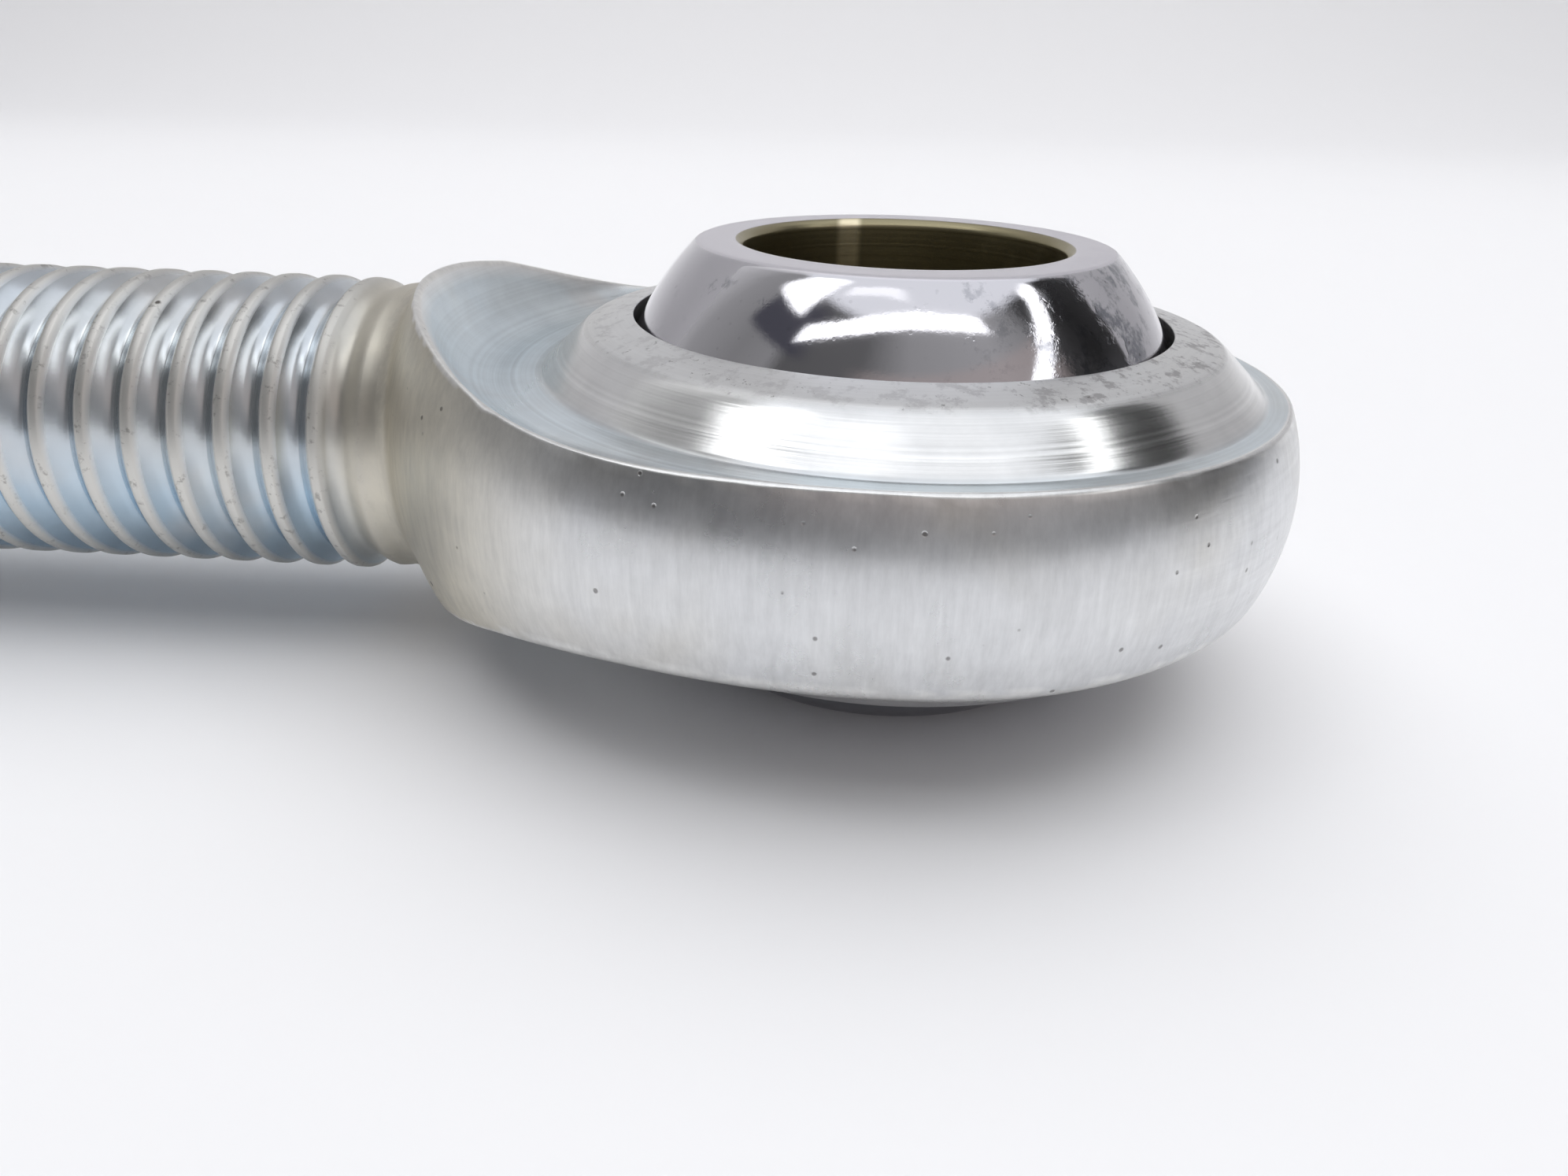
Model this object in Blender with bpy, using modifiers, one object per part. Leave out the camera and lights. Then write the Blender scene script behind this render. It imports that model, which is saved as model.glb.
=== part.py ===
"""Male rod end bearing: a forged head with a left-hand threaded shank, coined round a chromed ball.

Frame: origin at the centre of the ball, +Z along the ball's bore, the shank along -X.
All sizes are metres. Run with: blender --background --python part.py
"""
import math

import bmesh
import bpy
import numpy as np

# Ball
BORE_DIAMETER = 0.012
BALL_WIDTH = 0.016
BALL_FACE_WALL = 0.0017125      # flat ring between the bore and the ball's edge
BORE_CHAMFER = 0.00025

# Running space between the ball and its race, and the two lubricant films inside it
RACE_CLEARANCE = 0.0003
FILM_GAP = 0.00005              # left free on both sides of each film
FILM_HALF_HEIGHT = 0.0012

# Head
HOUSING_WIDTH = 0.01076         # from lip to lip, across the two turned faces
FACING_DEPTH = 0.00122          # forging left above each lip, before the faces are turned
HEAD_WALL = 0.0037375           # from the race's widest line to the outside of the head
CROWN_FALL = 0.00348            # how far the head's curved side falls back at the forging's face
BAND_SLOPE_DEG = 11.5           # the band that was pressed down round the ball
BAND_WIDTH = 0.0018
CONE_SLOPE_DEG = 43.0           # the turned flank outside that band
CONE_WIDTH = 0.0017
GROOVE_PAST_RIM = 0.0005        # flat foot of the turned flank, past the head's rim
GROOVE_RADIUS = 0.0022          # where the turning tool ran into the neck
GROOVE_WALL_DEG = 60.0

# Neck and shank
NECK_LENGTH = 0.00445           # how far the egg-shaped outline runs past the round head
NECK_ROUNDNESS = 2.05           # 2 is an ellipse
NECK_BLEND = 0.0008
CENTRE_TO_END = 0.054           # ball's centre to the end of the shank
RUNOUT_IN_NECK = 0.0007         # how far the thread's run-out reaches back into the neck

# Thread M12 x 1.75, left-hand
THREAD_MAJOR_DIAMETER = 0.01186
THREAD_DEPTH = 0.00098
THREAD_PITCH = 0.00175
THREAD_RUNOUT = 0.0021
THREAD_FLANK_DEG = 30.0
THREAD_CREST = 0.00028
THREAD_PHASE = 0.00102          # place of one crest, measured on the +Y side
BLANK_SETBACK = 0.00026         # plain shank, below the crests of the rolled thread
END_CHAMFER = 0.0011

# Facets
ROUND_STEPS = 64
RACE_ARC_STEPS = 12
BALL_ARC_STEPS = 16
CROWN_STEPS = 8
GROOVE_STEPS = 5
SHANK_SIDES = 32
POINTS_PER_PITCH = 6
NECK_STATIONS = 18
MERGE = 0.000001

# Derived
BORE_RADIUS = BORE_DIAMETER / 2
BALL_RADIUS = math.hypot(BORE_RADIUS + BALL_FACE_WALL, BALL_WIDTH / 2)
RACE_RADIUS = BALL_RADIUS + RACE_CLEARANCE
FILM_THICKNESS = (RACE_CLEARANCE - 3 * FILM_GAP) / 2
FILM_INNER_RADIUS = BALL_RADIUS + FILM_GAP
FILM_OUTER_RADIUS = FILM_INNER_RADIUS + FILM_THICKNESS + FILM_GAP
LIP_HEIGHT = HOUSING_WIDTH / 2
FORGING_HALF = LIP_HEIGHT + FACING_DEPTH
HEAD_RADIUS = RACE_RADIUS + HEAD_WALL
CROWN_RADIUS = (FORGING_HALF**2 + CROWN_FALL**2) / (2 * CROWN_FALL)
NECK_REACH = HEAD_RADIUS + NECK_LENGTH
THREAD_START = NECK_REACH - RUNOUT_IN_NECK
CREST_RADIUS = THREAD_MAJOR_DIAMETER / 2
ROOT_RADIUS = CREST_RADIUS - THREAD_DEPTH
BLANK_RADIUS = CREST_RADIUS - BLANK_SETBACK
CUT_MARGIN = 0.003              # how far a cutter runs past what it cuts


def clear_scene():
    for item in list(bpy.data.objects):
        bpy.data.objects.remove(item, do_unlink=True)


def new_collection(name):
    collection = bpy.data.collections.new(name)
    bpy.context.scene.collection.children.link(collection)
    return collection


def metal(name, colour, roughness, metallic):
    material = bpy.data.materials.new(name)
    material.use_nodes = True
    shader = material.node_tree.nodes["Principled BSDF"]
    shader.inputs["Base Color"].default_value = (*colour, 1.0)
    shader.inputs["Roughness"].default_value = roughness
    shader.inputs["Metallic"].default_value = metallic
    return material


def sphere_arc(radius, top, bottom, steps):
    """Points down the right-hand side of a sphere, between two heights."""
    start = math.acos(top / radius)
    end = math.acos(bottom / radius)
    angles = np.linspace(start, end, steps + 1)
    return [(radius * math.sin(a), radius * math.cos(a)) for a in angles]


def turned(name, profile, closed, collection):
    """A profile of (radius, height) points turned about Z with a Screw modifier."""
    mesh = bpy.data.meshes.new(name)
    count = len(profile)
    edges = [(i, i + 1) for i in range(count - 1)]
    if closed:
        edges.append((count - 1, 0))
    mesh.from_pydata([(r, 0.0, z) for r, z in profile], edges, [])
    piece = bpy.data.objects.new(name, mesh)
    collection.objects.link(piece)
    screw = piece.modifiers.new("Screw", "SCREW")
    screw.axis = "Z"
    screw.steps = ROUND_STEPS
    screw.render_steps = ROUND_STEPS
    screw.use_merge_vertices = True
    screw.merge_threshold = MERGE
    screw.use_smooth_shade = True
    return piece


def as_cutter(piece):
    piece.hide_render = True
    piece.display_type = "WIRE"
    return piece


def add_boolean(piece, operation, other):
    modifier = piece.modifiers.new(operation.title(), "BOOLEAN")
    modifier.operation = operation
    modifier.object = other
    modifier.solver = "EXACT"


def crown_drop(height):
    """How far the head's side falls back from its widest line at this height."""
    return CROWN_RADIUS - math.sqrt(CROWN_RADIUS**2 - height**2)


def face_cut_profile():
    """Profile (radius, height) of the turned upper face, from the lip out to the neck."""
    lip_radius = math.sqrt(RACE_RADIUS**2 - LIP_HEIGHT**2)
    band_foot = lip_radius + BAND_WIDTH
    band_height = LIP_HEIGHT - BAND_WIDTH * math.tan(math.radians(BAND_SLOPE_DEG))
    cone_foot = band_foot + CONE_WIDTH
    ledge_height = band_height - CONE_WIDTH * math.tan(math.radians(CONE_SLOPE_DEG))
    groove_start = HEAD_RADIUS - crown_drop(ledge_height) + GROOVE_PAST_RIM
    wall = math.radians(GROOVE_WALL_DEG)
    angles = np.linspace(0.0, wall, GROOVE_STEPS + 1)
    groove = [
        (groove_start + GROOVE_RADIUS * math.sin(a), ledge_height + GROOVE_RADIUS * (1 - math.cos(a)))
        for a in angles
    ]
    return [(lip_radius, LIP_HEIGHT), (band_foot, band_height), (cone_foot, ledge_height)] + groove


def face_cutter(name, side, collection):
    """Everything that the turning tool takes off one face; side is 1 for the top, -1 for below."""
    profile = face_cut_profile()
    top = FORGING_HALF + CUT_MARGIN
    wall_radius, wall_foot = profile[-1]
    wall_reach = (top - wall_foot) / math.tan(math.radians(GROOVE_WALL_DEG))
    outline = [(0.0, LIP_HEIGHT)] + profile + [(wall_radius + wall_reach, top), (0.0, top)]
    if side > 0:
        outline.reverse()
    return as_cutter(turned(name, [(r, side * z) for r, z in outline], False, collection))


def race_cutter(collection):
    """The spherical seat, cut as a short barrel of race radius."""
    arc = sphere_arc(RACE_RADIUS, FORGING_HALF, -FORGING_HALF, RACE_ARC_STEPS)
    profile = [(0.0, FORGING_HALF)] + arc + [(0.0, -FORGING_HALF)]
    return as_cutter(turned("race_cutter", profile, False, collection))


def head_barrel(collection):
    """The round part of the forging, turned about the bore axis, with a crowned side."""
    half = (LIP_HEIGHT + FORGING_HALF) / 2
    heights = np.linspace(half, -half, CROWN_STEPS + 1)
    side = [(HEAD_RADIUS - crown_drop(z), z) for z in heights]
    return as_cutter(turned("head_barrel", [(0.0, half)] + side + [(0.0, -half)], False, collection))


def neck_half_width(x):
    """Half width of the forging at the distance x from the ball's centre, blended into the shank."""
    share = max(0.0, 1.0 - (x / NECK_REACH) ** NECK_ROUNDNESS)
    egg = HEAD_RADIUS * share ** (1.0 / NECK_ROUNDNESS)
    return (egg + BLANK_RADIUS + math.hypot(egg - BLANK_RADIUS, NECK_BLEND)) / 2


def neck_radius(x, angle):
    """Distance from the shank's axis to the forging's skin, at one station and one angle."""
    width = neck_half_width(x)
    crown = min(CROWN_RADIUS, width)
    offset = width - crown
    across = abs(math.cos(angle))
    up = abs(math.sin(angle))
    flat_edge = offset + math.sqrt(max(0.0, crown**2 - FORGING_HALF**2))
    if crown > FORGING_HALF and FORGING_HALF * across < flat_edge * up:
        return FORGING_HALF / up
    return offset * across + math.sqrt(crown**2 - (offset * up) ** 2)


def thread_height(x, angle):
    """Height of the thread over the shank blank at x along the shank, for a left-hand helix."""
    turn = (x - THREAD_PHASE) / THREAD_PITCH - angle / (2 * math.pi)
    from_crest = abs(turn - round(turn)) * THREAD_PITCH
    slope = 1.0 / math.tan(math.radians(THREAD_FLANK_DEG))
    radius = CREST_RADIUS - max(0.0, from_crest - THREAD_CREST / 2) * slope
    return max(radius, ROOT_RADIUS) - BLANK_RADIUS


def shank_radius(x, angle):
    """Radius of the threaded shank, with its run-out towards the head and its end chamfer."""
    fade = min(1.0, max(0.0, (x - THREAD_START) / THREAD_RUNOUT))
    radius = BLANK_RADIUS + fade * thread_height(x, angle)
    chamfer_limit = CREST_RADIUS - END_CHAMFER + (CENTRE_TO_END - x)
    return min(radius, chamfer_limit)


def shank_stations():
    """Distances from the ball's centre at which the neck and shank get a ring of points."""
    ease = np.linspace(0.0, 1.0, NECK_STATIONS)
    neck = THREAD_START * np.sin(ease * math.pi / 2)
    rings = round((CENTRE_TO_END - THREAD_START) / THREAD_PITCH * POINTS_PER_PITCH)
    thread = np.linspace(THREAD_START, CENTRE_TO_END, rings + 1)
    return np.concatenate([neck, thread[1:]])


def neck_and_shank(collection):
    """One loft along -X: egg-shaped forging sections, the round neck, then the thread."""
    bm = bmesh.new()
    angles = [2 * math.pi * i / SHANK_SIDES for i in range(SHANK_SIDES)]
    rings = []
    for x in shank_stations():
        radius_at = shank_radius if x > THREAD_START else neck_radius
        ring = []
        for angle in angles:
            radius = radius_at(x, angle)
            ring.append(bm.verts.new((-x, radius * math.cos(angle), radius * math.sin(angle))))
        rings.append(ring)
    for near, far in zip(rings, rings[1:]):
        for i in range(SHANK_SIDES):
            j = (i + 1) % SHANK_SIDES
            bm.faces.new((near[i], near[j], far[j], far[i]))
    bm.faces.new(rings[0][::-1])
    bm.faces.new(rings[-1])
    bmesh.ops.recalc_face_normals(bm, faces=bm.faces)
    mesh = bpy.data.meshes.new("rod_end_body")
    bm.to_mesh(mesh)
    bm.free()
    piece = bpy.data.objects.new("rod_end_body", mesh)
    collection.objects.link(piece)
    return piece


def rod_end_body(parts, cutters):
    body = neck_and_shank(parts)
    add_boolean(body, "UNION", head_barrel(cutters))
    add_boolean(body, "DIFFERENCE", face_cutter("top_face_cutter", 1, cutters))
    add_boolean(body, "DIFFERENCE", face_cutter("bottom_face_cutter", -1, cutters))
    add_boolean(body, "DIFFERENCE", race_cutter(cutters))
    body.data.materials.append(metal("zinc_plate", (0.62, 0.64, 0.65), 0.32, 1.0))
    return body


def ball(parts):
    half = BALL_WIDTH / 2
    outside = sphere_arc(BALL_RADIUS, half, -half, BALL_ARC_STEPS)
    bore = [
        (BORE_RADIUS + BORE_CHAMFER, -half),
        (BORE_RADIUS, -half + BORE_CHAMFER),
        (BORE_RADIUS, half - BORE_CHAMFER),
        (BORE_RADIUS + BORE_CHAMFER, half),
    ]
    piece = turned("ball", outside + bore, True, parts)
    piece.data.materials.append(metal("hard_chrome", (0.56, 0.56, 0.58), 0.12, 1.0))
    return piece


def grease_film(name, inner_radius, parts):
    """A thin band of lubricant round the ball's equator."""
    outer_radius = inner_radius + FILM_THICKNESS
    half = FILM_HALF_HEIGHT
    outside = sphere_arc(outer_radius, half, -half, 2)
    inside = sphere_arc(inner_radius, half, -half, 2)
    piece = turned(name, outside + inside[::-1], True, parts)
    piece.data.materials.append(metal("grease", (0.42, 0.36, 0.22), 0.25, 0.0))
    return piece


def main():
    clear_scene()
    parts = new_collection("rod_end_bearing")
    cutters = new_collection("cutters")
    rod_end_body(parts, cutters)
    ball(parts)
    grease_film("grease_film_inner", FILM_INNER_RADIUS, parts)
    grease_film("grease_film_outer", FILM_OUTER_RADIUS, parts)


main()
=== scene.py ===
import math

import bmesh
import bpy
import numpy as np
from mathutils import Matrix, Vector


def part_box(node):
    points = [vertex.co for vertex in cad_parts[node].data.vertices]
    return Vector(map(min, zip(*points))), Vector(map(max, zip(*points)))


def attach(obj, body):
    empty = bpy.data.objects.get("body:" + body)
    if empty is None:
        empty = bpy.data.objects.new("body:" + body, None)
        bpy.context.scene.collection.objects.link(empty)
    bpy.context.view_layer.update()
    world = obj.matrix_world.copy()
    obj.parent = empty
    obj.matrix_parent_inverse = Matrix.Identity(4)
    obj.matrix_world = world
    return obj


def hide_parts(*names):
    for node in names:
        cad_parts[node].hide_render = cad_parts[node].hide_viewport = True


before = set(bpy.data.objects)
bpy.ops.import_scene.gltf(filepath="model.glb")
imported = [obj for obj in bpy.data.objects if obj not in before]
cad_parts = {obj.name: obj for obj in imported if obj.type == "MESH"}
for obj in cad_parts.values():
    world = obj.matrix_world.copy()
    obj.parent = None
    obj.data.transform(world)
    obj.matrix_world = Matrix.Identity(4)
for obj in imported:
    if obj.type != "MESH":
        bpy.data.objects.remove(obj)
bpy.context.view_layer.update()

mm = 0.001
print("frame loaded:", sorted(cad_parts))


class Value:
    # One socket. Sums and products of it are written as expressions, which add Math nodes.
    def __init__(self, graph, socket):
        self.graph = graph
        self.socket = socket

    def math(self, operation, *others):
        return self.graph.math(operation, self, *others)

    def __add__(self, other):
        return self.math("ADD", other)

    def __radd__(self, other):
        return self.math("ADD", other)

    def __sub__(self, other):
        return self.math("SUBTRACT", other)

    def __rsub__(self, other):
        return self.graph.math("SUBTRACT", other, self)

    def __mul__(self, other):
        return self.math("MULTIPLY", other)

    def __rmul__(self, other):
        return self.math("MULTIPLY", other)

    def __truediv__(self, other):
        return self.math("DIVIDE", other)

    def __rtruediv__(self, other):
        return self.graph.math("DIVIDE", other, self)

    def __pow__(self, other):
        return self.math("POWER", other)

    def abs(self):
        return self.math("ABSOLUTE")

    # 0 below low, 1 above high, eased in between; low above high turns it round
    def step(self, low, high):
        return self.graph.add("ShaderNodeMapRange", {"interpolation_type": "SMOOTHSTEP"},
                              {0: self, 1: low, 2: high, 3: 0.0, 4: 1.0})


class Graph:
    def __init__(self, owner):
        owner.use_nodes = True
        self.tree = owner.node_tree
        self.tree.nodes.clear()

    # a node's type, its settings, the values or links of its sockets, and the output wanted
    def add(self, kind, settings, sockets, output=0):
        node = self.tree.nodes.new(kind)
        for name, value in settings.items():
            if name == "stops":
                for i, (place, colour) in enumerate(value):
                    stop = node.color_ramp.elements[i] if i < 2 else node.color_ramp.elements.new(place)
                    stop.position = place
                    stop.color = colour
            else:
                setattr(node, name, value)
        for name, value in sockets.items():
            if isinstance(value, Value):
                self.tree.links.new(value.socket, node.inputs[name])
            else:
                node.inputs[name].default_value = value
        return Value(self, node.outputs[output])

    def math(self, operation, *values):
        return self.add("ShaderNodeMath", {"operation": operation}, dict(enumerate(values)))

    def mix(self, factor, colourA, colourB, blend="MIX"):
        return self.add("ShaderNodeMix", {"data_type": "RGBA", "blend_type": blend, "clamp_factor": True},
                        {0: factor, 6: colourA, 7: colourB}, 2)

    def squeezed(self, vector, scales):
        return self.add("ShaderNodeVectorMath", {"operation": "MULTIPLY"}, {0: vector, 1: scales})

    def grey(self, level):
        return self.add("ShaderNodeCombineColor", {}, {0: level, 1: level, 2: level})

    def place(self):
        return self.add("ShaderNodeTexCoord", {}, {}, "Object")

    def axes(self, vector):
        split = self.add("ShaderNodeSeparateXYZ", {}, {0: vector})
        outputs = split.socket.node.outputs
        return [Value(self, outputs[i]) for i in range(3)]

    def noise(self, vector, scale, detail=2.0, roughness=0.5, distortion=0.0):
        return self.add("ShaderNodeTexNoise", {"noise_dimensions": "3D"},
                        {"Vector": vector, "Scale": scale, "Detail": detail,
                         "Roughness": roughness, "Distortion": distortion}, 0)

    # noise that changes along one number only, for rings and tool lines
    def lines(self, number, scale, detail=3.0):
        return self.add("ShaderNodeTexNoise", {"noise_dimensions": "1D"},
                        {"W": number, "Scale": scale, "Detail": detail, "Roughness": 0.6}, 0)

    def attribute(self, name):
        return self.add("ShaderNodeAttribute", {"attribute_name": name}, {}, "Fac")

    # small dark pits: one per cell, in a share of the cells
    def pits(self, vector, scale, share, size):
        cell = self.add("ShaderNodeTexVoronoi", {"feature": "F1"}, {"Vector": vector, "Scale": scale},
                        "Distance")
        chance = Value(self, cell.socket.node.outputs["Color"])
        luck = self.axes(chance)[0]
        return cell.step(size, size * 0.5) * luck.step(share, share * 0.9)

    def finish(self, constants, **links):
        shader = self.tree.nodes.new("ShaderNodeBsdfPrincipled")
        for name, value in constants.items():
            shader.inputs[name].default_value = value
        for name, value in links.items():
            self.tree.links.new(value.socket, shader.inputs[name.replace("_", " ")])
        output = self.tree.nodes.new("ShaderNodeOutputMaterial")
        self.tree.links.new(shader.outputs[0], output.inputs["Surface"])

    def bump(self, height, distance):
        return self.add("ShaderNodeBump", {}, {"Height": height, "Strength": 1.0, "Distance": distance})


def newMaterial(name):
    material = bpy.data.materials.new(name)
    return material, Graph(material)


# a grid of points (rows, columns, 3) as vertices and quads; closed joins the last column to the first
def gridFaces(rows, columns, first, closed):
    across = columns if closed else columns - 1
    i, j = np.meshgrid(np.arange(rows - 1), np.arange(across), indexing="ij")
    k = (j + 1) % columns
    corners = [i * columns + j, i * columns + k, (i + 1) * columns + k, (i + 1) * columns + j]
    return np.stack([c.ravel() for c in corners], axis=1) + first


# several grids become one closed mesh: doubles merged, normals outward, attributes kept
def meshFromGrids(name, grids, attributeNames):
    points, faces, marks = [], [], {key: [] for key in attributeNames}
    first = 0
    for grid in grids:
        rows, columns = grid["points"].shape[:2]
        points.append(grid["points"].reshape(-1, 3))
        faces.append(gridFaces(rows, columns, first, grid.get("closed", True)))
        for key in attributeNames:
            values = np.broadcast_to(grid.get(key, 0.0), (rows, columns))
            marks[key].append(values.reshape(-1))
        first += rows * columns
    mesh = bpy.data.meshes.new(name)
    mesh.from_pydata(np.concatenate(points), [], np.concatenate(faces).tolist())
    for key in attributeNames:
        layer = mesh.attributes.new(key, "FLOAT", "POINT")
        layer.data.foreach_set("value", np.concatenate(marks[key]).astype(np.float32))
    work = bmesh.new()
    work.from_mesh(mesh)
    bmesh.ops.remove_doubles(work, verts=work.verts, dist=2e-7)
    bmesh.ops.dissolve_degenerate(work, dist=1e-9, edges=work.edges)
    bmesh.ops.recalc_face_normals(work, faces=work.faces)
    print(name, len(work.verts), "points", len(work.faces), "faces,",
          sum(1 for e in work.edges if not e.is_manifold), "open edges")
    work.to_mesh(mesh)
    work.free()
    mesh.shade_smooth()
    piece = bpy.data.objects.new(name, mesh)
    bpy.context.scene.collection.objects.link(piece)
    return piece


# greater of a and b, rounded over the width k where they cross
def softMax(a, b, k):
    h = np.maximum(k - np.abs(a - b), 0.0) / k
    return np.maximum(a, b) + h * h * k / 4


# where a function that rises from below zero to above it crosses zero, by halving
def crossing(rising, low, high):
    for _ in range(48):
        middle = (low + high) / 2
        above = rising(middle) > 0
        high = np.where(above, middle, high)
        low = np.where(above, low, middle)
    return (low + high) / 2


bodyLow, bodyHigh = [np.array(corner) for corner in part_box("rod_end_body")]
ballLow, ballHigh = [np.array(corner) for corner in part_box("ball")]

body = {
    "headRadius": bodyHigh[0],
    "shankEnd": -bodyLow[0],
    "raceRadius": ballHigh[0] + 0.3 * mm,
    "lipHeight": 5.38 * mm,
    "forgingHalf": 6.6 * mm,
    "crownRadius": 8.0 * mm,
    "bandWidth": 1.8 * mm,
    "bandSlope": 11.5,
    "coneWidth": 1.7 * mm,
    "coneSlope": 43.0,
    "groovePastRim": 0.5 * mm,
    "grooveRadius": 2.2 * mm,
    "grooveWall": 60.0,
    "creaseRound": 0.07 * mm,       # softening of the turned creases
    "bandRound": 0.55 * mm,         # and of the crease between the band and the cone
    "bandRoundReach": 0.6 * mm,     # how far from the band's foot that second rounding is felt
    "profileReach": 26 * mm,        # the turned profile is sampled out to here
    "profileSamples": 6000,
    "neckLength": 4.45 * mm,
    "neckRoundness": 2.05,
    "neckBlend": 0.8 * mm,
    "ridgeRound": 0.25 * mm,        # where the forging's flat top meets its sides
    "crestRadius": 5.93 * mm,
    "threadDepth": 0.62 * mm,
    "blankSetback": 0.26 * mm,
    "pitch": 1.75 * mm,
    "crestFlat": 0.34 * mm,
    "flank": 40.0,
    "crestPhase": 1.02 * mm,
    "runoutInNeck": 0.7 * mm,       # how far the thread's run-out reaches back into the neck
    "runout": 2.1 * mm,
    "endChamfer": 1.1 * mm,
    "topEdge": 0.13 * mm,           # rounding of the rim on the upper side
    "humpEdge": 0.22 * mm,          # and where the rim climbs over the neck
    "underEdge": 0.62 * mm,         # and underneath, where the forging came out softer
    "lipEdge": 0.09 * mm,
    "capAngle": 146.0,              # beyond this the head's side turns into the neck
    "crestSoft": 0.07 * mm,         # rounding of the crests and of the roots
    "rootSoft": 0.3 * mm,
    "runoutPower": 1.3,             # above 1 the ridges rise slowly out of the neck
    "shankBack": 0.12 * mm,         # the shank's grid starts this far before its run-out
    "settleLength": 1.1 * mm,       # over which the neck's last width fades out
}
neckReach = body["headRadius"] + body["neckLength"]
blankRadius = body["crestRadius"] - body["blankSetback"]
rootRadius = body["crestRadius"] - body["threadDepth"]
threadStart = neckReach - body["runoutInNeck"]
shankFrom = threadStart - body["shankBack"]
farOut = 24 * mm                    # outside the head everywhere
insideHead = 9 * mm
insideShank = 3 * mm


def runningMean(values, halfWidth):
    width = max(1, int(halfWidth))
    kernel = np.hanning(2 * width + 3)[1:-1]
    return np.convolve(np.pad(values, width, mode="edge"), kernel / kernel.sum(), mode="valid")


# height of the turned face over the radius: lip, sloping band, cone, ledge, then a round groove
# that climbs the neck; its creases are softened by a short running mean
def faceProfile():
    lip = math.sqrt(body["raceRadius"]**2 - body["lipHeight"]**2)
    bandFoot = lip + body["bandWidth"]
    bandZ = body["lipHeight"] - body["bandWidth"] * math.tan(math.radians(body["bandSlope"]))
    coneFoot = bandFoot + body["coneWidth"]
    ledgeZ = bandZ - body["coneWidth"] * math.tan(math.radians(body["coneSlope"]))
    drop = body["crownRadius"] - math.sqrt(body["crownRadius"]**2 - ledgeZ**2)
    groove = body["headRadius"] - drop + body["groovePastRim"]
    wall = math.radians(body["grooveWall"])
    arcEnd = groove + body["grooveRadius"] * math.sin(wall)
    r = np.linspace(lip - 2 * mm, body["profileReach"], body["profileSamples"])
    z = np.interp(r, [lip, bandFoot, coneFoot, groove], [body["lipHeight"], bandZ, ledgeZ, ledgeZ])
    inArc = np.clip(r - groove, 0.0, body["grooveRadius"] * math.sin(wall))
    z += body["grooveRadius"] - np.sqrt(body["grooveRadius"]**2 - inArc**2)
    z += np.maximum(r - arcEnd, 0.0) * math.tan(wall)
    z += np.minimum(r - lip, 0.0) * -math.tan(math.radians(body["bandSlope"]))
    crisp = runningMean(z, body["creaseRound"] / (r[1] - r[0]))
    soft = runningMean(z, body["bandRound"] / (r[1] - r[0]))
    nearBandFoot = np.exp(-((r - bandFoot) / body["bandRoundReach"])**4)
    return r, crisp + (soft - crisp) * nearBandFoot, lip, bandFoot, coneFoot


profileR, profileZ, lipR, bandFootR, coneFootR = faceProfile()


def cutHeight(r):
    return np.interp(r, profileR, profileZ)


# half width of the forging x behind the ball's centre: an egg outline eased into the round shank
def neckHalfWidth(x):
    back = np.clip(x / neckReach, 0.0, None)
    share = np.clip(1 - back**body["neckRoundness"], 0.0, None)
    egg = body["headRadius"] * share**(1 / body["neckRoundness"])
    ease = body["neckBlend"] * np.clip(back, 0, 1)**2
    return (egg + blankRadius + np.sqrt((egg - blankRadius)**2 + ease**2)) / 2


# below zero inside the forging: a section of width neckHalfWidth with crowned sides and a flat top
def skinField(x, y, z):
    ahead = np.clip(x, 0, None)
    half = neckHalfWidth(np.clip(-x, 0, None))
    across = np.hypot(ahead, y)
    crown = np.minimum(body["crownRadius"], half)
    side = np.hypot(np.clip(across - (half - crown), 0, None), z) - crown
    return softMax(side, np.abs(z) - body["forgingHalf"], body["ridgeRound"])


# radius from the bore axis at which the skin stands, at one azimuth and height
def skinRadius(phi, z):
    low = np.full(np.broadcast(phi, z).shape, insideHead)
    high = np.full(low.shape, farOut)
    return crossing(lambda r: skinField(r * np.cos(phi), r * np.sin(phi), z), low, high)


# radius at which the turned face runs out of the forging
def rimRadius(phi):
    low = np.full(phi.shape, coneFootR)
    high = np.full(phi.shape, farOut)
    return crossing(lambda r: skinField(r * np.cos(phi), r * np.sin(phi), cutHeight(r)), low, high)


# distance from the shank's axis to the skin at one station and one turn about that axis
def neckRadius(x, theta):
    low = np.full(np.broadcast(x, theta).shape, insideShank)
    high = np.full(low.shape, farOut)
    return crossing(lambda q: skinField(-x, q * np.cos(theta), q * np.sin(theta)), low, high)


# shank radius at x and theta: left-hand ridges with flat crests, each flank leaning by the flank
# angle, roots and crests rounded, faded in at the run-out and cut back by the end chamfer
def shankRadius(x, theta):
    turn = (x - body["crestPhase"]) / body["pitch"] - theta / (2 * math.pi)
    fromCrest = np.abs(turn - np.round(turn)) * body["pitch"]
    slope = 1 / math.tan(math.radians(body["flank"]))
    flank = body["crestRadius"] - (fromCrest - body["crestFlat"] / 2) * slope
    ridge = -softMax(-flank, -body["crestRadius"], body["crestSoft"])
    ridge = softMax(ridge, rootRadius, body["rootSoft"])
    fade = np.clip((x - threadStart) / body["runout"], 0, 1)
    fade = fade**body["runoutPower"]
    radius = blankRadius + fade * (ridge - blankRadius)
    chamfer = body["crestRadius"] - body["endChamfer"] + (body["shankEnd"] - x)
    crestShare = np.clip((ridge - body["crestRadius"] + 0.12 * mm) / (0.1 * mm), 0, 1) * fade
    return np.minimum(radius, chamfer), crestShare


def ringPoint(x, radius, theta):
    return np.stack([-x + 0 * theta, radius * np.cos(theta), radius * np.sin(theta)], axis=-1)


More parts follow.
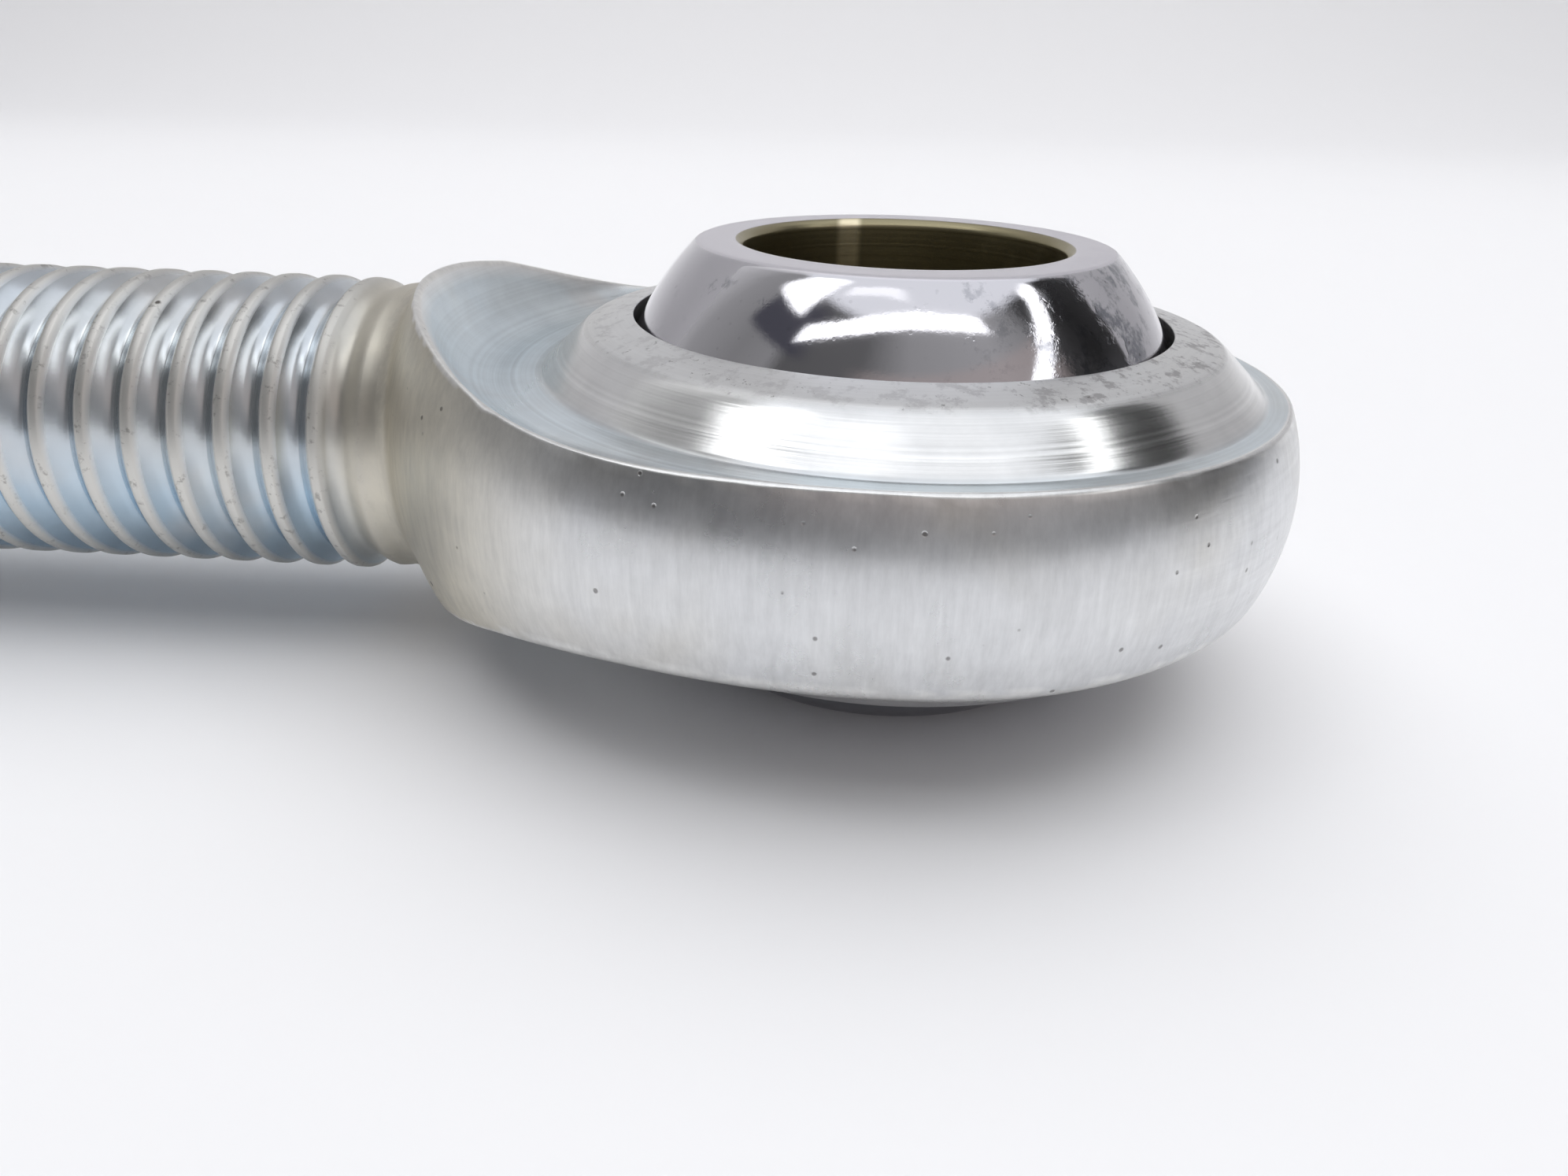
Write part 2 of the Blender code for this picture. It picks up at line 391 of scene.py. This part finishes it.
def aboutBore(phi, r, z):
    return np.stack([r * np.cos(phi), r * np.sin(phi), z + 0 * phi], axis=-1)


# numbers of rows and columns
bodyGrid = {
    "wallColumns": 132,
    "capColumns": 76,
    "bandRows": 9,
    "coneRows": 12,
    "ledgeRows": 15,
    "edgeRows": 5,
    "lipRows": 4,
    "raceRows": 22,
    "wallRows": 26,
    "capRows": 34,
    "endRings": 9,
}

rng = np.random.default_rng(12)


# a smooth closed wobble round the rim, between -1 and 1: a few sines of drawn phase and strength
def wobble(phi, waves):
    total = np.zeros_like(phi)
    for k in waves:
        total += np.sin(k * phi + rng.uniform(0, 2 * math.pi)) * rng.uniform(0.5, 1.0)
    return total / len(waves)


# knocks in the upper rim: azimuth in degrees, width in degrees, depth
rimKnocks = [(-56.0, 0.9, 0.22 * mm), (-61.0, 0.5, 0.1 * mm), (-107.0, 0.7, 0.1 * mm),
             (-142.0, 1.1, 0.14 * mm), (35.0, 0.8, 0.16 * mm), (98.0, 0.7, 0.12 * mm)]


# an angle brought between -pi and pi
def wrapped(angle):
    return np.angle(np.exp(1j * angle))


# how much of the rim's corner is rounded off at each azimuth, on top and underneath
def rimRounding(phi):
    towardNeck = np.clip((np.abs(wrapped(phi)) - 2.2) / 0.7, 0, 1)
    top = body["topEdge"] + (body["humpEdge"] - body["topEdge"]) * towardNeck
    top = top * (1 + 0.35 * wobble(phi, (5, 9, 14, 23)))
    for place, width, depth in rimKnocks:
        gap = np.degrees(wrapped(phi - math.radians(place)))
        top = top + depth * np.exp(-(gap / width)**2)
    under = body["underEdge"] * (1 + 0.12 * wobble(phi, (3, 7, 12)))
    return top, under


# a quadratic curve from start to end, pulled toward the corner
def quadratic(u, start, corner, end):
    return (1 - u)**2 * start + 2 * u * (1 - u) * corner + u**2 * end


# one turned face and its rounded rim: rows of growing radius at each azimuth, one on each crease;
# side is 1 on top and -1 underneath. The rim's last radius and height come back with the grid
def faceAndRim(phi, side, size):
    rim = rimRadius(phi)
    rimZ = cutHeight(rim)
    inner = rim - size
    outerZ = rimZ - size
    outer = skinRadius(phi, outerZ)
    band = np.linspace(lipR + body["lipEdge"], bandFootR, bodyGrid["bandRows"] + 1)[:-1]
    cone = np.linspace(bandFootR, coneFootR, bodyGrid["coneRows"] + 1)[:-1]
    fixed = np.concatenate([band, cone])[:, None] * np.ones_like(phi)
    ledge = coneFootR + (inner - coneFootR) * np.linspace(0, 1, bodyGrid["ledgeRows"])[:, None]
    faceR = np.concatenate([fixed, ledge])
    u = np.linspace(0, 1, bodyGrid["edgeRows"] + 1)[1:, None]
    r = np.concatenate([faceR, quadratic(u, inner, rim, outer)])
    z = np.concatenate([cutHeight(faceR), quadratic(u, cutHeight(inner), rimZ, outerZ)])
    row = np.arange(len(r))[:, None]
    onFace = 1.0 * (row < len(faceR))
    grid = {
        "points": aboutBore(phi[None, :], r, side * z),
        "turned": onFace,
        "coined": onFace * np.clip((bandFootR - r) / (0.25 * mm) + 0.5, 0, 1),
        "hollow": onFace * np.clip((r - coneFootR) / (0.3 * mm) + 0.7, 0, 1),
        "wear": 1.0 * (row >= len(faceR) - 1),
    }
    return grid, (outer, outerZ)


# race: a ball-shaped seat between the two lips, with a small round at each lip
def raceSeat(phi):
    seatTop = body["lipHeight"] - body["lipEdge"]
    heights = seatTop * np.sin(np.linspace(math.pi / 2, -math.pi / 2, bodyGrid["raceRows"] + 1))
    seat = aboutBore(phi[None, :], np.sqrt(body["raceRadius"]**2 - heights**2)[:, None], heights[:, None])
    u = np.linspace(0, 1, bodyGrid["lipRows"])[:, None]
    startR = lipR + body["lipEdge"]
    endR = math.sqrt(body["raceRadius"]**2 - seatTop**2)
    curveR = quadratic(u, startR, lipR, endR)
    curveZ = quadratic(u, cutHeight(startR), body["lipHeight"], seatTop)
    lipTop = aboutBore(phi[None, :], curveR, curveZ)
    lipUnder = aboutBore(phi[None, :], curveR[::-1], -curveZ[::-1])
    return {"points": np.concatenate([lipTop, seat[1:-1], lipUnder]), "coined": 0.6}


# side wall: even steps of height from the upper rim to the lower one, at the skin's radius
def sideWall(phi, topRim, underRim):
    around = np.arange(bodyGrid["wallColumns"] + 1)
    topZ, underZ = topRim[1][around], -underRim[1][around]
    t = np.linspace(0, 1, bodyGrid["wallRows"] + 1)[:, None]
    z = topZ + (underZ - topZ) * t
    return aboutBore(phi[around][None, :], skinRadius(phi[around][None, :], z), z)


# neck: from the opening that the wall leaves, a loop about the shank's axis shrinks to the round
# shank; its points move back by a sine and turn to even angles as they go
def neckCap(phi, topRim, underRim, wall):
    behind = np.append(np.arange(bodyGrid["wallColumns"], len(phi)), 0)
    topArc = aboutBore(phi[behind], topRim[0][behind], topRim[1][behind])
    underArc = aboutBore(phi[behind], underRim[0][behind], -underRim[1][behind])
    loop = np.concatenate([topArc[:-1], wall[:-1, 0], underArc[::-1][:-1], wall[::-1][:-1, -1]])
    startX = -loop[:, 0]
    startTheta = np.unwrap(np.arctan2(loop[:, 2], loop[:, 1]))
    count = len(loop)
    sense = np.sign(startTheta[-1] - startTheta[0])
    evenTheta = startTheta.mean() + (np.arange(count) - (count - 1) / 2) * (2 * math.pi / count) * sense
    u = np.linspace(0, 1, bodyGrid["capRows"] + 1)[:, None]
    x = startX + (shankFrom - startX) * np.sin(u * math.pi / 2)
    theta = startTheta + (evenTheta - startTheta) * (u * u * (3 - 2 * u))
    neck = ringPoint(x, neckRadius(x, theta), theta)
    neck[0] = loop
    return {"points": neck}, evenTheta


# places of the rows within one turn of the thread, closest together at the edges of the flat crest
rowPlaces = np.array([0, 0.065, 0.1, 0.2, 0.33, 0.41, 0.5, 0.59, 0.67, 0.8, 0.9, 0.935])


# shank: rows follow the helix, so every row keeps its place on the ridge; rows are held back to the
# neck's end and to the end face. Once round shifts a row by one pitch, so the last column is the
# first one, a turn on
def threadedShank(evenTheta):
    turns = math.ceil((body["shankEnd"] - shankFrom) / body["pitch"]) + 2
    rowTurns = (np.arange(-2, turns)[:, None] + rowPlaces[None, :]).ravel()
    firstTurn = math.floor((shankFrom - body["crestPhase"]) / body["pitch"] + 0.5)
    base = body["crestPhase"] + firstTurn * body["pitch"]
    seam = evenTheta[0] + 2 * math.pi * np.sign(evenTheta[1] - evenTheta[0])
    theta = np.append(evenTheta, seam)[None, :]
    x = base + body["pitch"] * (rowTurns[:, None] + theta / (2 * math.pi))
    x = np.clip(x, shankFrom, body["shankEnd"])
    whole = x[:, :-1]
    keep = (whole.max(axis=1) > shankFrom) & (whole.min(axis=1) < body["shankEnd"])
    keep[np.argmax(keep) - 1] = True
    x = np.concatenate([x[keep], np.full((1, x.shape[1]), body["shankEnd"])])
    radius, crest = shankRadius(x, theta)
    startRing = neckRadius(np.full(theta.shape, shankFrom), theta)
    startRing[0, -1] = startRing[0, 0]
    settle = np.clip((x - shankFrom) / body["settleLength"], 0, 1)
    radius = radius + (startRing - blankRadius) * (1 - settle)**2
    theta = np.broadcast_to(theta, x.shape)
    shank = {"points": ringPoint(x, radius, theta), "crest": crest, "thread": 1.0, "closed": False}
    # end face: rings shrinking to a point
    endRadius = radius[-1][None, :] * np.linspace(1, 0, bodyGrid["endRings"])[:, None]
    endX = np.full(endRadius.shape, body["shankEnd"])
    endFace = {"points": ringPoint(endX, endRadius, theta[:1] + 0 * endRadius), "turned": 0.4,
               "closed": False}
    return shank, endFace


def makeBody():
    cap = math.radians(body["capAngle"])
    phi = np.concatenate([np.linspace(-cap, cap, bodyGrid["wallColumns"] + 1)[:-1],
                          np.linspace(cap, 2 * math.pi - cap, bodyGrid["capColumns"] + 1)[:-1]])
    topSize, underSize = rimRounding(phi)
    topFace, topRim = faceAndRim(phi, 1, topSize)
    underFace, underRim = faceAndRim(phi, -1, underSize)
    wall = sideWall(phi, topRim, underRim)
    neck, evenTheta = neckCap(phi, topRim, underRim, wall)
    shank, endFace = threadedShank(evenTheta)
    grids = [topFace, underFace, raceSeat(phi), {"points": wall, "closed": False}, neck, shank, endFace]
    names = ["coined", "turned", "hollow", "wear", "crest", "thread"]
    return meshFromGrids("forged_rod_end", grids, names)


rodEnd = makeBody()
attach(rodEnd, "body")
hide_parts("rod_end_body")

ball = {
    "radius": ballHigh[0],
    "halfWidth": ballHigh[2],
    "boreRadius": 6.0 * mm,
    "faceRound": 0.16 * mm,
    "faceRoundIn": 1.2,             # how far the round reaches over the face, as a share of faceRound
    "boreChamfer": 0.25 * mm,
    "columns": 224,
}


# the ball's profile: sphere, rounded edge, flat ring, chamfer, bore, and the same back
def makeBall():
    faceR = math.sqrt(ball["radius"]**2 - ball["halfWidth"]**2)
    z = np.linspace(0, ball["halfWidth"] - ball["faceRound"], 44)
    sphere = np.stack([np.sqrt(ball["radius"]**2 - z**2), z], axis=1)
    u = np.linspace(0, 1, 7)[1:, None]
    corner = np.array([faceR, ball["halfWidth"]])
    onFace = np.array([faceR - ball["faceRoundIn"] * ball["faceRound"], ball["halfWidth"]])
    edge = quadratic(u, sphere[-1], corner, onFace)
    chamferTop = ball["boreRadius"] + ball["boreChamfer"]
    ring = np.stack([np.linspace(onFace[0], chamferTop, 8)[1:], np.full(7, ball["halfWidth"])], axis=1)
    foot = ball["halfWidth"] - ball["boreChamfer"]
    bevel = np.array([[ball["boreRadius"] + 0.02 * mm, foot + 0.03 * mm],
                      [ball["boreRadius"], foot - 0.03 * mm]])
    bore = np.stack([np.full(14, ball["boreRadius"]), np.linspace(foot - 0.1 * mm, 0, 14)], axis=1)
    upper = np.concatenate([sphere, edge, ring, bevel, bore])
    lower = upper[::-1] * np.array([1, -1])
    profile = np.concatenate([upper, lower[1:]])
    angle = np.linspace(0, 2 * math.pi, ball["columns"], endpoint=False)
    r, z = profile[:, :1], profile[:, 1:] + 0 * angle
    points = np.stack([r * np.cos(angle), r * np.sin(angle), z], axis=-1)
    return meshFromGrids("chromed_ball", [{"points": points}], [])


chromeBall = makeBall()
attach(chromeBall, "ball")
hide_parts("ball")

zincLook = {
    "plate": (0.71, 0.72, 0.73, 1),
    "blue": (0.50, 0.64, 0.76, 1),
    "pale": (0.70, 0.79, 0.84, 1),
    "warm": (0.66, 0.62, 0.52, 1),
    "fresh": (0.90, 0.90, 0.885, 1),
    "coined": (0.42, 0.41, 0.41, 1),
    "crest": (0.72, 0.71, 0.67, 1),
    "dirt": (0.05, 0.035, 0.03, 1),
    "roughness": 0.2,
    "neckFrom": (-9 * mm, -16 * mm),        # along x, where the warm neck fades in and out
    "neckTo": (-22 * mm, -19.5 * mm),
    "farEnd": (5 * mm, 12 * mm),            # where the flat tool marks come in
    "driftScale": 160,                      # textures, by how many features a metre has
    "cloudScale": 95,
    "blotchScale": 620,
    "grainScale": 3600,
    "speckleScale": 2300,
    "stainScale": 1300,
    "brushScale": 3800,
    "toolScale": 3600,
    "ringScale": 6200,
    "broadRingScale": 1900,
    "pitScale": 900,
    "finePitScale": 2100,
    "grainDepth": 0.0016,                   # reliefs, in millimetres
    "brushDepth": 0.0032,
    "cloudDepth": 0.016,
    "ringDepth": 0.004,
    "broadRingDepth": 0.006,
    "toolDepth": 0.006,
    "pitDepth": 0.015,
}


# plate: each tint is mixed in by where it sits times a noise; a grey tone from the marks multiplies the
# colour, and the same marks, at most a few hundredths of a millimetre deep, bend the normal
def zincMaterial():
    material, g = newMaterial("clear zinc plate")
    look = zincLook
    place = g.place()
    x, y, z = g.axes(place)
    fromBore = (x * x + y * y)**0.5
    coined, turned, hollow = g.attribute("coined"), g.attribute("turned"), g.attribute("hollow")
    wear, crest, thread = g.attribute("wear"), g.attribute("crest"), g.attribute("thread")
    side = (1 - turned) * (1 - thread)
    endShare = x.step(*look["farEnd"]) * side
    neck = x.step(*look["neckFrom"]) * x.step(*look["neckTo"])
    drift = g.noise(place, look["driftScale"], 3, 0.55)
    cloud = g.noise(place, look["cloudScale"], 3, 0.6, 0.6)
    blotch = g.noise(place, look["blotchScale"], 4, 0.62)
    grain = g.noise(place, look["grainScale"], 3, 0.6)
    speckle = g.noise(place, look["speckleScale"], 4, 0.7)
    stains = g.noise(place, look["stainScale"], 5, 0.72)
    # brushed marks stand upright on the side; tool marks run flat round the far end of the head
    brushed = g.noise(g.squeezed(place, (1.0, 1.0, 0.12)), look["brushScale"], 4, 0.65)
    toolLines = g.noise(g.squeezed(place, (0.1, 0.1, 1.0)), look["toolScale"], 3, 0.6)
    rings = g.lines(fromBore, look["ringScale"], 4)
    broadRings = g.lines(fromBore, look["broadRingScale"], 2)
    # plate: neutral, blue in the hollows and between the ridges, warm on the neck
    lowShare = z.step(1.5 * mm, -2.5 * mm)
    bluish = (0.3 + 0.7 * lowShare) * thread * (1 - crest) * (1 - neck)
    colour = g.mix(drift.step(0.2, 0.5) * bluish, look["plate"], look["blue"])
    colour = g.mix(drift.step(0.25, 0.5) * hollow * 0.85, colour, look["pale"])
    colour = g.mix(cloud.step(0.4, 0.7) * (0.2 + 0.2 * side), colour, look["warm"])
    colour = g.mix(neck * (0.75 + 0.25 * blotch) * (1 - hollow), colour, look["warm"])
    colour = g.mix(turned * (1 - hollow) * (1 - coined) * 0.7, colour, look["fresh"])
    colour = g.mix(wear * 0.8, colour, look["fresh"])
    tone = 0.90 + 0.20 * blotch
    tone = tone + (0.24 * brushed - 0.12) * side + (0.2 * toolLines - 0.1) * endShare
    tone = tone + (0.22 * rings - 0.11) * turned + (0.1 * broadRings - 0.05) * turned
    tone = tone.step(0.0, 2.0) * 2.0
    colour = g.mix(1.0, colour, g.grey(tone), "MULTIPLY")
    # the coined band next to the ball: stained, with dark specks, most of them at its far side
    colour = g.mix(coined * 0.6, colour, look["fresh"])
    farSide = 0.35 + 0.65 * x.step(-2 * mm, 9 * mm)
    colour = g.mix(coined * (0.05 + 0.85 * stains.step(0.5, 0.62)) * farSide, colour, look["coined"])
    colour = g.mix(crest * 0.85, colour, look["crest"])
    pits = g.pits(place, look["pitScale"], 0.05, 0.13)
    finePits = g.pits(place, look["finePitScale"], 0.07, 0.22) * side
    specks = speckle.step(0.62, 0.7) * coined * 0.7
    crestSpecks = speckle.step(0.56, 0.68) * crest * 0.45
    dirt = pits.math("MAXIMUM", specks).math("MAXIMUM", finePits * 0.7).math("MAXIMUM", crestSpecks)
    colour = g.mix(dirt * 0.85, colour, look["dirt"])
    roughness = look["roughness"] + 0.1 * blotch * side + 0.16 * coined + 0.2 * crest
    roughness = roughness + 0.08 * drift * side + 0.06 * rings * turned + 0.04 * thread
    roughness = roughness + 0.16 * neck - 0.05 * turned * (1 - coined)
    height = (grain * look["grainDepth"] + brushed * look["brushDepth"] + cloud * look["cloudDepth"]) * side
    height = height + (rings * look["ringDepth"] + broadRings * look["broadRingDepth"]) * turned
    height = height + toolLines * look["toolDepth"] * endShare + speckle * (0.005 * coined + 0.008 * crest)
    height = height + blotch * (0.003 + 0.004 * thread) - (pits + finePits) * look["pitDepth"]
    normal = g.bump(height, mm)
    g.finish({"Metallic": 1.0, "IOR": 2.0}, Base_Color=colour,
             Roughness=roughness.math("MINIMUM", 0.7), Normal=normal)
    return material


chromeLook = {
    "chrome": (0.66, 0.65, 0.68, 1),
    "face": (0.80, 0.78, 0.82, 1),
    "bore": (0.36, 0.32, 0.20, 1),
    # colour of the painted reflection, a light streak in the bore
    "paintedReflection": (0.98, 0.88, 0.62, 1),
    # grey for the stains and for the painted shade on the ball's underside
    "stainAndPaintedShade": (0.25, 0.26, 0.29, 1),
    "spot": (0.10, 0.09, 0.10, 1),
    "paintedReflectionX": -2.1 * mm,                    # where a painted reflection, a light streak, runs down the bore
    # below these heights the outside is darkened: painted shade where the ball faces the table
    "paintedShadeBelow": (-4.8 * mm, -5.8 * mm),
}


# chrome: bore, face and outside told apart by radius and height; the outside is mottled by one noise
# cut at a level, most of all on its far side, with small pits in the same places. A painted reflection
# streaks the bore, and painted shade darkens the underside
def chromeMaterial():
    material, g = newMaterial("hard chrome")
    place = g.place()
    x, y, z = g.axes(place)
    fromBore = (x * x + y * y)**0.5
    inBore = fromBore.step(6.3 * mm, 6.22 * mm)
    onFace = z.abs().step(7.9 * mm, 7.97 * mm) * (1 - inBore)
    outside = (1 - inBore) * (1 - onFace)
    cloud = g.noise(place, 260, 4, 0.62)
    fine = g.noise(place, 2400, 3, 0.7)
    pits = g.pits(place, 2600, 0.4, 0.2)
    far = x.step(0.5 * mm, 6 * mm)
    mottled = g.noise(place, 950, 5, 0.7).step(0.58 - 0.12 * far, 0.68 - 0.1 * far) * cloud.step(0.36, 0.56)
    spots = pits * (0.12 + 0.7 * mottled)
    stain = mottled * (0.15 + 0.75 * far).math("MAXIMUM", z.step(6.2 * mm, 7.2 * mm) * 0.5)
    colour = g.mix(onFace, chromeLook["chrome"], chromeLook["face"])
    colour = g.mix(inBore, colour, chromeLook["bore"])
    # painted reflection: a light streak down the far wall of the bore, colour standing in for a bright light
    # mirrored there
    paintedReflection = (x - chromeLook["paintedReflectionX"]).abs().step(0.6 * mm, 0.25 * mm) * y.step(0, 3 * mm) * inBore
    colour = g.mix(paintedReflection, colour, chromeLook["paintedReflection"])
    # painted shade: the ball's underside, facing the table, darkened by colour
    paintedUnderShade = z.step(*chromeLook["paintedShadeBelow"]) * outside
    colour = g.mix(paintedUnderShade * 0.75, colour, chromeLook["stainAndPaintedShade"])
    colour = g.mix(stain * outside * fine.step(0.3, 0.6), colour, chromeLook["stainAndPaintedShade"])
    colour = g.mix(spots * outside * 0.8, colour, chromeLook["spot"])
    roughness = 0.05 + 0.16 * stain * fine + 0.04 * cloud + 0.27 * onFace + 0.25 * inBore
    boreLines = g.lines(z, 5200, 3)
    faceLines = g.lines(fromBore, 9000, 3)
    height = fine * 0.0016 - spots * 0.003 + stain * fine * 0.004 + cloud * 0.004
    height = height + boreLines * 0.005 * inBore + faceLines * 0.003 * onFace
    g.finish({"Metallic": 1.0}, Base_Color=colour, Roughness=roughness, Normal=g.bump(height, mm))
    return material


greaseLook = {
    "thick": (0.24, 0.19, 0.09, 1),
    "thin": (0.42, 0.36, 0.2, 1),
}


# grease: amber, smeared lighter and duller by one noise
def greaseMaterial():
    material, g = newMaterial("grease film")
    place = g.place()
    smear = g.noise(place, 700, 3, 0.6, 0.4)
    colour = g.mix(smear, greaseLook["thick"], greaseLook["thin"])
    roughness = 0.18 + 0.25 * smear
    g.finish({"Metallic": 0.0, "IOR": 1.47}, Base_Color=colour, Roughness=roughness,
             Normal=g.bump(smear * 0.01, mm))
    return material


def setMaterial(piece, material):
    piece.data.materials.clear()
    piece.data.materials.append(material)


setMaterial(rodEnd, zincMaterial())
setMaterial(chromeBall, chromeMaterial())
grease = greaseMaterial()
for film in ("grease_film_inner", "grease_film_outer"):
    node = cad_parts[film]
    for slot in node.material_slots:
        slot.material = grease
print("finishes made")

studio = {
    "floorZ": ballLow[2],
    "floorColour": (0.86, 0.86, 0.87, 1),
    "wallAway": 0.34,
    "wallBend": 0.22,
    "halfWidth": 1.4,
    "floorTint": (0.76, 0.77, 0.80, 1),
    "frontEdge": -1.2,
    "wallTop": 0.9,
    "sky": 1.0,
    "lampPower": 1.95,
    "lampPlace": (0.0, 0.1, 0.46),
    "lampSize": (0.8, 0.6),
}


# a sheet that runs flat under the part, bends up behind it and becomes a wall
def makeFloor():
    bend = np.linspace(0, math.pi / 2, 25)
    along = np.concatenate([[studio["frontEdge"]], studio["wallAway"] + studio["wallBend"] * np.sin(bend),
                            [studio["wallAway"] + studio["wallBend"]]])
    rise = np.concatenate([[0], studio["wallBend"] * (1 - np.cos(bend)), [studio["wallTop"]]])
    rise = rise + studio["floorZ"]
    across = np.array([-1, 1]) * studio["halfWidth"]
    points = np.stack([across[None, :] + 0 * along[:, None], along[:, None] + 0 * across,
                       rise[:, None] + 0 * across], axis=-1)
    mesh = bpy.data.meshes.new("table_and_backdrop")
    mesh.from_pydata(points.reshape(-1, 3), [], gridFaces(len(along), 2, 0, False).tolist())
    mesh.shade_smooth()
    floor = bpy.data.objects.new("table_and_backdrop", mesh)
    bpy.context.scene.collection.objects.link(floor)
    material, g = newMaterial("white table")
    place = g.place()
    shade = g.noise(place, 30, 3, 0.5)
    colour = g.mix(shade * 0.05, studio["floorColour"], studio["floorTint"])
    g.finish({"Specular IOR Level": 0.3}, Base_Color=colour, Roughness=0.5 + 0.1 * shade)
    setMaterial(floor, material)


# the sky is a light tent: white behind, grey at the left, open at the near side to a dim room, dark
# at the right; overhead it is bright, with a dark gap, a long bowed lamp, a fainter one above it, a
# short lamp and a lit edge. Directions are an elevation and an azimuth in degrees, 0 on the near
# side and 90 at the right
def makeSky():
    world = bpy.data.worlds.new("tent")
    bpy.context.scene.world = world
    g = Graph(world)
    way = g.add("ShaderNodeTexCoord", {}, {}, "Generated")
    x, y, z = g.axes(way)
    degrees = 180 / math.pi
    up = z.math("MAXIMUM", -1.0).math("MINIMUM", 1.0).math("ARCSINE") * degrees
    azimuth = x.math("ARCTAN2", y * -1) * degrees
    stops = [(-180, 1.0), (-150, 0.98), (-125, 0.72), (-105, 0.36), (-82, 0.26), (-66, 0.30), (-58, 0.12),
             (-20, 0.14), (5, 0.34), (50, 0.42), (70, 0.30), (80, 0.06), (98, 0.02), (112, 0.04), (126, 0.14),
             (142, 0.44), (158, 0.85), (180, 1.0)]
    stops = [((angle + 180) / 360, (level, level, level * 1.02, 1)) for angle, level in stops]
    base = g.add("ShaderNodeValToRGB", {"stops": stops}, {0: (azimuth + 180) / 360})
    low = up.step(2, -4)
    base = g.mix(low, base, (0.94, 0.94, 0.96, 1))
    room = up.step(46, 41) * azimuth.step(-30, -10) * azimuth.step(84, 74)
    base = g.mix(room * up.step(12, 24) * 0.5, base, (0.50, 0.42, 0.40, 1))
    dim = up.step(26, 8) * azimuth.step(-72, -55) * azimuth.step(118, 100)
    base = g.mix(dim * (1 - low) * 0.65, base, (0.16, 0.16, 0.17, 1))
    above = (up + (azimuth - 20).math("MAXIMUM", 0.0) * 0.12).step(61, 66)
    base = g.mix(above, base, (0.98, 1.0, 1.05, 1))
    gap = up.step(39, 43) * up.step(64, 57) * azimuth.step(-92, -86) * azimuth.step(-44, -60)
    base = g.mix(gap * 0.95, base, (0.07, 0.07, 0.09, 1))
    bow = 64.5 - (azimuth - 6) * (azimuth - 6) * 0.0036
    lamp = (up - bow).abs().step(4.4, 2.8) * azimuth.step(-62, -57) * azimuth.step(58, 52)
    outer = 76 - (azimuth + 16) * (azimuth + 16) * 0.0036
    second = (up - outer).abs().step(3.2, 1.6) * azimuth.step(-60, -52) * azimuth.step(16, -8) * 0.45
    short = up.step(52, 55) * up.step(76, 71) * azimuth.step(-96, -91) * azimuth.step(-64, -71)
    lean = 96 - (52 - up).math("MAXIMUM", 0.0) * 1.45
    edge = (azimuth - lean).abs().step(8, 5) * up.step(27, 32) * up.step(57, 53)
    lit = lamp.math("MAXIMUM", short).math("MAXIMUM", edge).math("MAXIMUM", second)
    base = g.mix(lit, base, (2.1, 2.12, 2.16, 1))
    shell = g.add("ShaderNodeBackground", {}, {"Color": base, "Strength": studio["sky"]})
    output = g.tree.nodes.new("ShaderNodeOutputWorld")
    g.tree.links.new(shell.socket, output.inputs["Surface"])


# a wide soft lamp over the back of the table; it lights the table and isn't mirrored in the metal
def makeLamp():
    data = bpy.data.lights.new("soft box", "AREA")
    data.shape = "RECTANGLE"
    data.size, data.size_y = studio["lampSize"]
    data.energy = studio["lampPower"]
    lamp = bpy.data.objects.new("soft box", data)
    bpy.context.scene.collection.objects.link(lamp)
    lamp.location = studio["lampPlace"]
    lamp.rotation_euler = (-Vector(lamp.location)).to_track_quat("-Z", "Y").to_euler()
    lamp.visible_glossy = False


view = {
    "place": (-1.724 * mm, -42.331 * mm, 13.958 * mm),
    "look": (-0.0516, 0.8982, -0.4366),
    "up": (-0.0494, 0.4344, 0.8994),
    "lens": 24.97,
}


def makeCamera():
    data = bpy.data.cameras.new("camera")
    data.sensor_width = 36
    data.lens = view["lens"]
    data.clip_start = 1 * mm
    data.clip_end = 10
    camera = bpy.data.objects.new("camera", data)
    bpy.context.scene.collection.objects.link(camera)
    back = -Vector(view["look"]).normalized()
    side = Vector(view["up"]).cross(back).normalized()
    up = back.cross(side)
    turn = Matrix((side, up, back)).transposed().to_4x4()
    camera.matrix_world = Matrix.Translation(view["place"]) @ turn
    bpy.context.scene.camera = camera


makeFloor()
makeSky()
makeLamp()
makeCamera()
bpy.context.scene.view_settings.view_transform = "Standard"
print("studio made")
